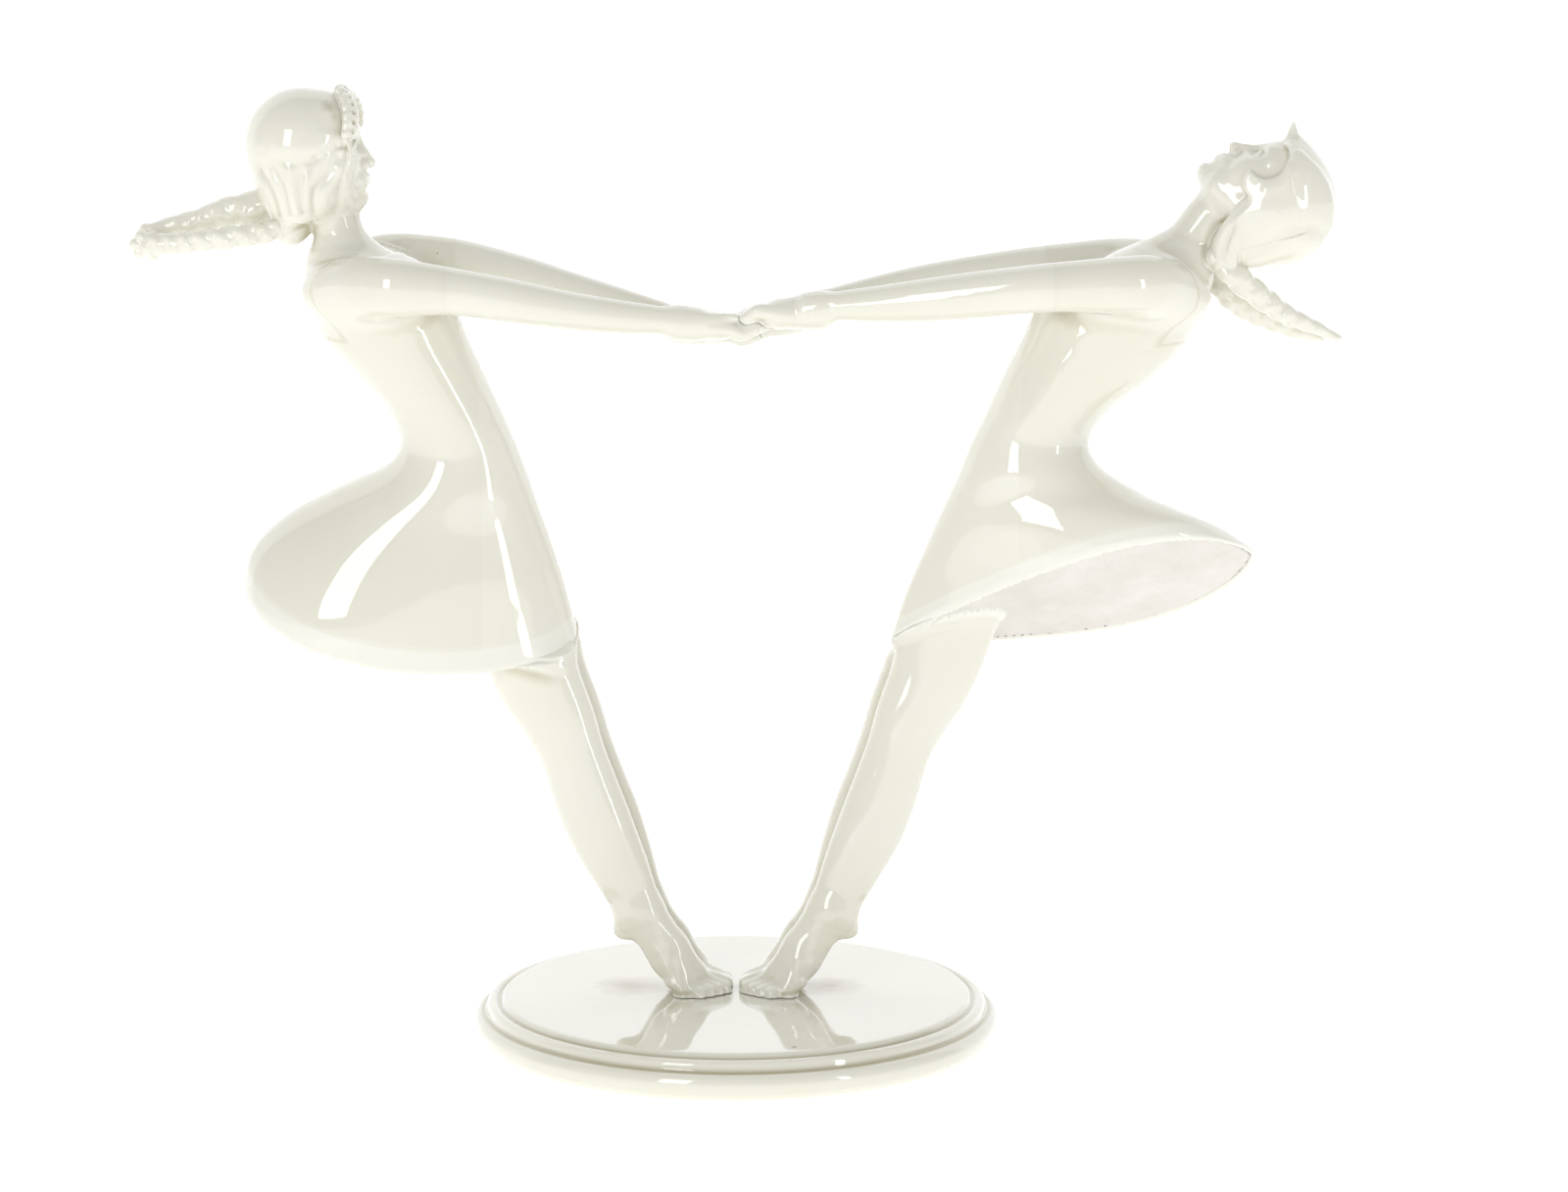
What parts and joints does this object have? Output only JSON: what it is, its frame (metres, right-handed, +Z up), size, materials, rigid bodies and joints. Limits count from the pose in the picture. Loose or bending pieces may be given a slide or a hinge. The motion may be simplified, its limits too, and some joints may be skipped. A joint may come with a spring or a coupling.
{
  "type": "porcelain figurine",
  "caption": "Glazed porcelain group of dancers in short flared dresses who lean apart with joined hands, toes together on a round moulded plinth.",
  "frame": {"origin": "centre of the plinth's underside, on the surface it stands on", "axes": "+Z up, +X from the plinth's axis towards the dancer whose head is thrown back, +Y across the group away from the front side"},
  "size_m": [0.2547, 0.113, 0.2069],
  "materials": {
    "glaze": "gloss",
    "bisque": "matte"
  },
  "bodies": {
    "root": {"plinth": "glaze", "left_legs": "glaze", "left_dress": "glaze", "left_skirt_floor": "bisque", "left_near_arm": "glaze", "left_far_arm": "glaze", "left_head": "glaze", "left_wreath": "glaze", "left_near_plait": "glaze", "left_far_plait": "glaze", "right_legs": "glaze", "right_dress": "glaze", "right_skirt_floor": "bisque", "right_near_arm": "glaze", "right_far_arm": "glaze", "right_head": "glaze", "right_near_plait": "glaze", "right_far_plait": "glaze"}
  },
  "joints": []
}
